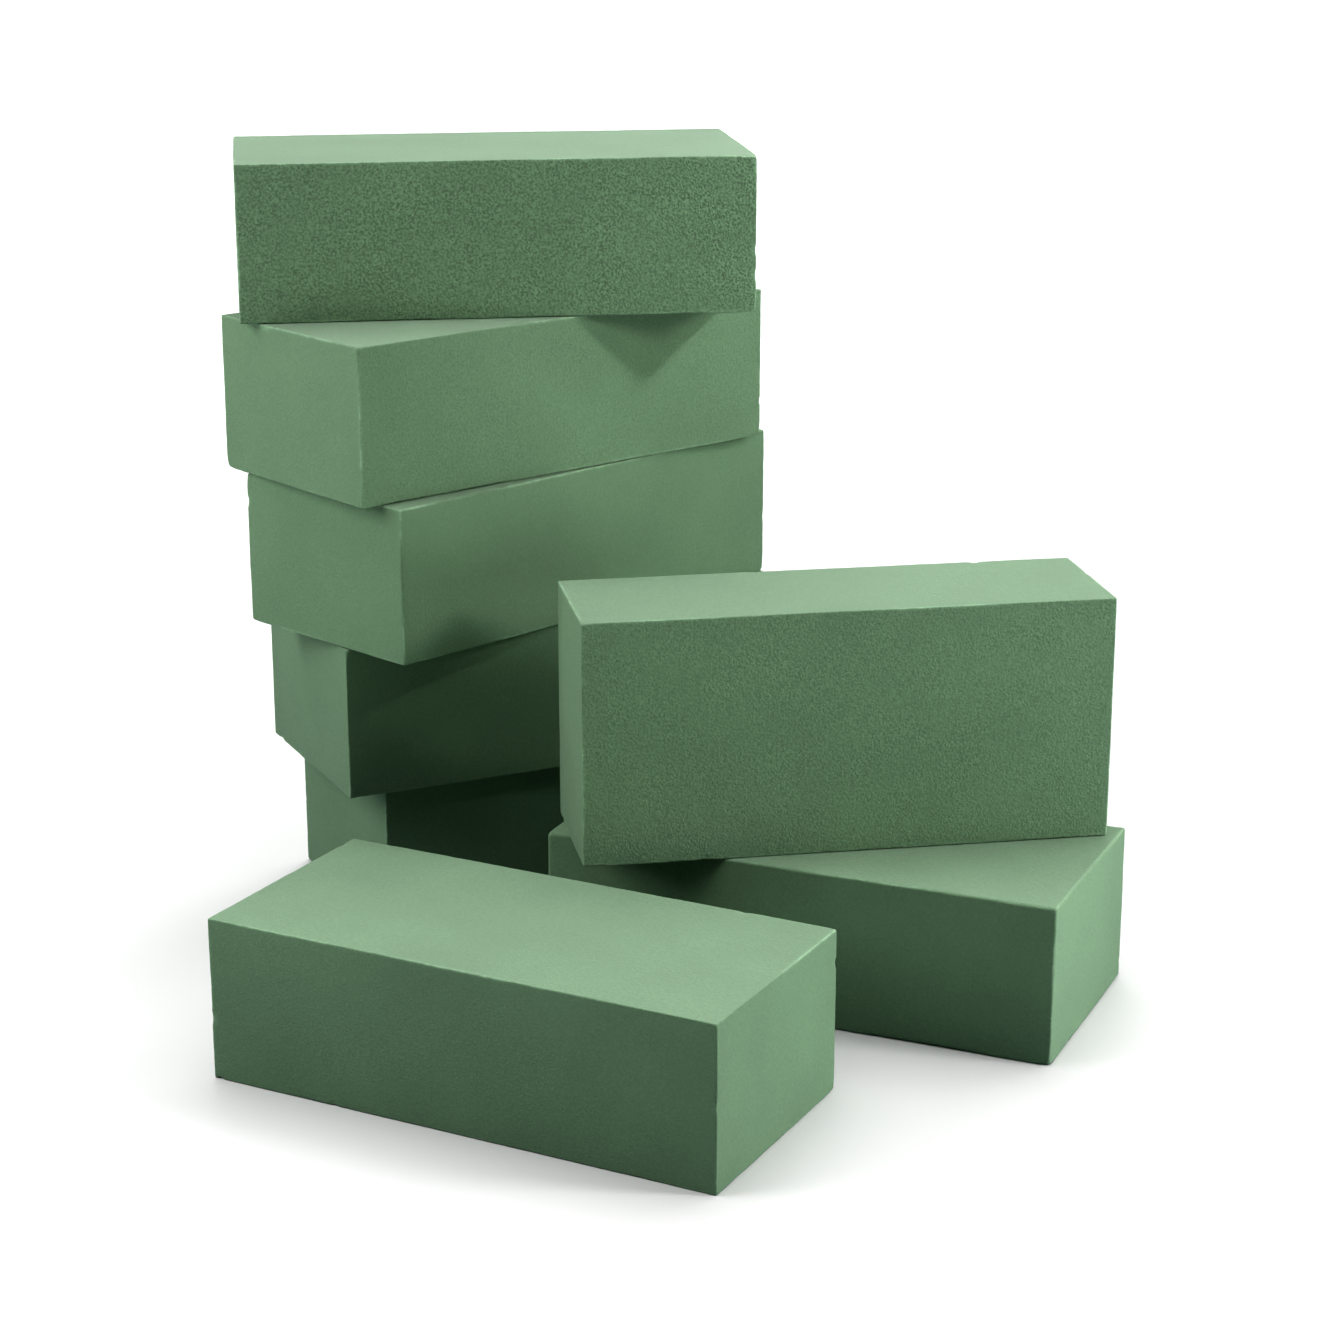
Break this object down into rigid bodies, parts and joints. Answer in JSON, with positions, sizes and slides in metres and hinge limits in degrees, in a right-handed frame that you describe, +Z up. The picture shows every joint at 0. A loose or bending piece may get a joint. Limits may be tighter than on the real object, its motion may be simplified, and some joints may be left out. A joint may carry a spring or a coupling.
{
  "type": "floral foam brick set",
  "caption": "Loose rectangular blocks of green floral foam: a twisted stack, one block on edge across a flat one, and one block in front.",
  "frame": {"origin": "middle of the set's footprint, on the surface that the bricks stand on", "axes": "+Z up, -Y towards the front brick and the viewer, +X towards the pair of bricks at the right"},
  "size_m": [0.403, 0.4666, 0.3501],
  "materials": {
    "foam": "matte"
  },
  "bodies": {
    "stack_brick_1": {"stack_brick_1": "foam"},
    "stack_brick_2": {"stack_brick_2": "foam"},
    "stack_brick_3": {"stack_brick_3": "foam"},
    "stack_brick_4": {"stack_brick_4": "foam"},
    "stack_brick_5": {"stack_brick_5": "foam"},
    "right_flat_brick": {"right_flat_brick": "foam"},
    "right_upright_brick": {"right_upright_brick": "foam"},
    "front_brick": {"front_brick": "foam"}
  },
  "joints": [
    {"name": "stack_brick_2_lift", "type": "slide", "parent": "stack_brick_1", "child": "stack_brick_2", "axis": [0, 0, 1], "range_m": [0, 0.06]},
    {"name": "stack_brick_3_lift", "type": "slide", "parent": "stack_brick_2", "child": "stack_brick_3", "axis": [0, 0, 1], "range_m": [0, 0.06]},
    {"name": "stack_brick_4_lift", "type": "slide", "parent": "stack_brick_3", "child": "stack_brick_4", "axis": [0, 0, 1], "range_m": [0, 0.06]},
    {"name": "stack_brick_5_lift", "type": "slide", "parent": "stack_brick_4", "child": "stack_brick_5", "axis": [0, 0, 1], "range_m": [0, 0.06]},
    {"name": "right_flat_brick_lift", "type": "slide", "parent": "stack_brick_1", "child": "right_flat_brick", "axis": [0, 0, 1], "range_m": [0, 0.06]},
    {"name": "right_upright_brick_lift", "type": "slide", "parent": "right_flat_brick", "child": "right_upright_brick", "axis": [0, 0, 1], "range_m": [0, 0.06]},
    {"name": "front_brick_lift", "type": "slide", "parent": "stack_brick_1", "child": "front_brick", "axis": [0, 0, 1], "range_m": [0, 0.06]}
  ]
}
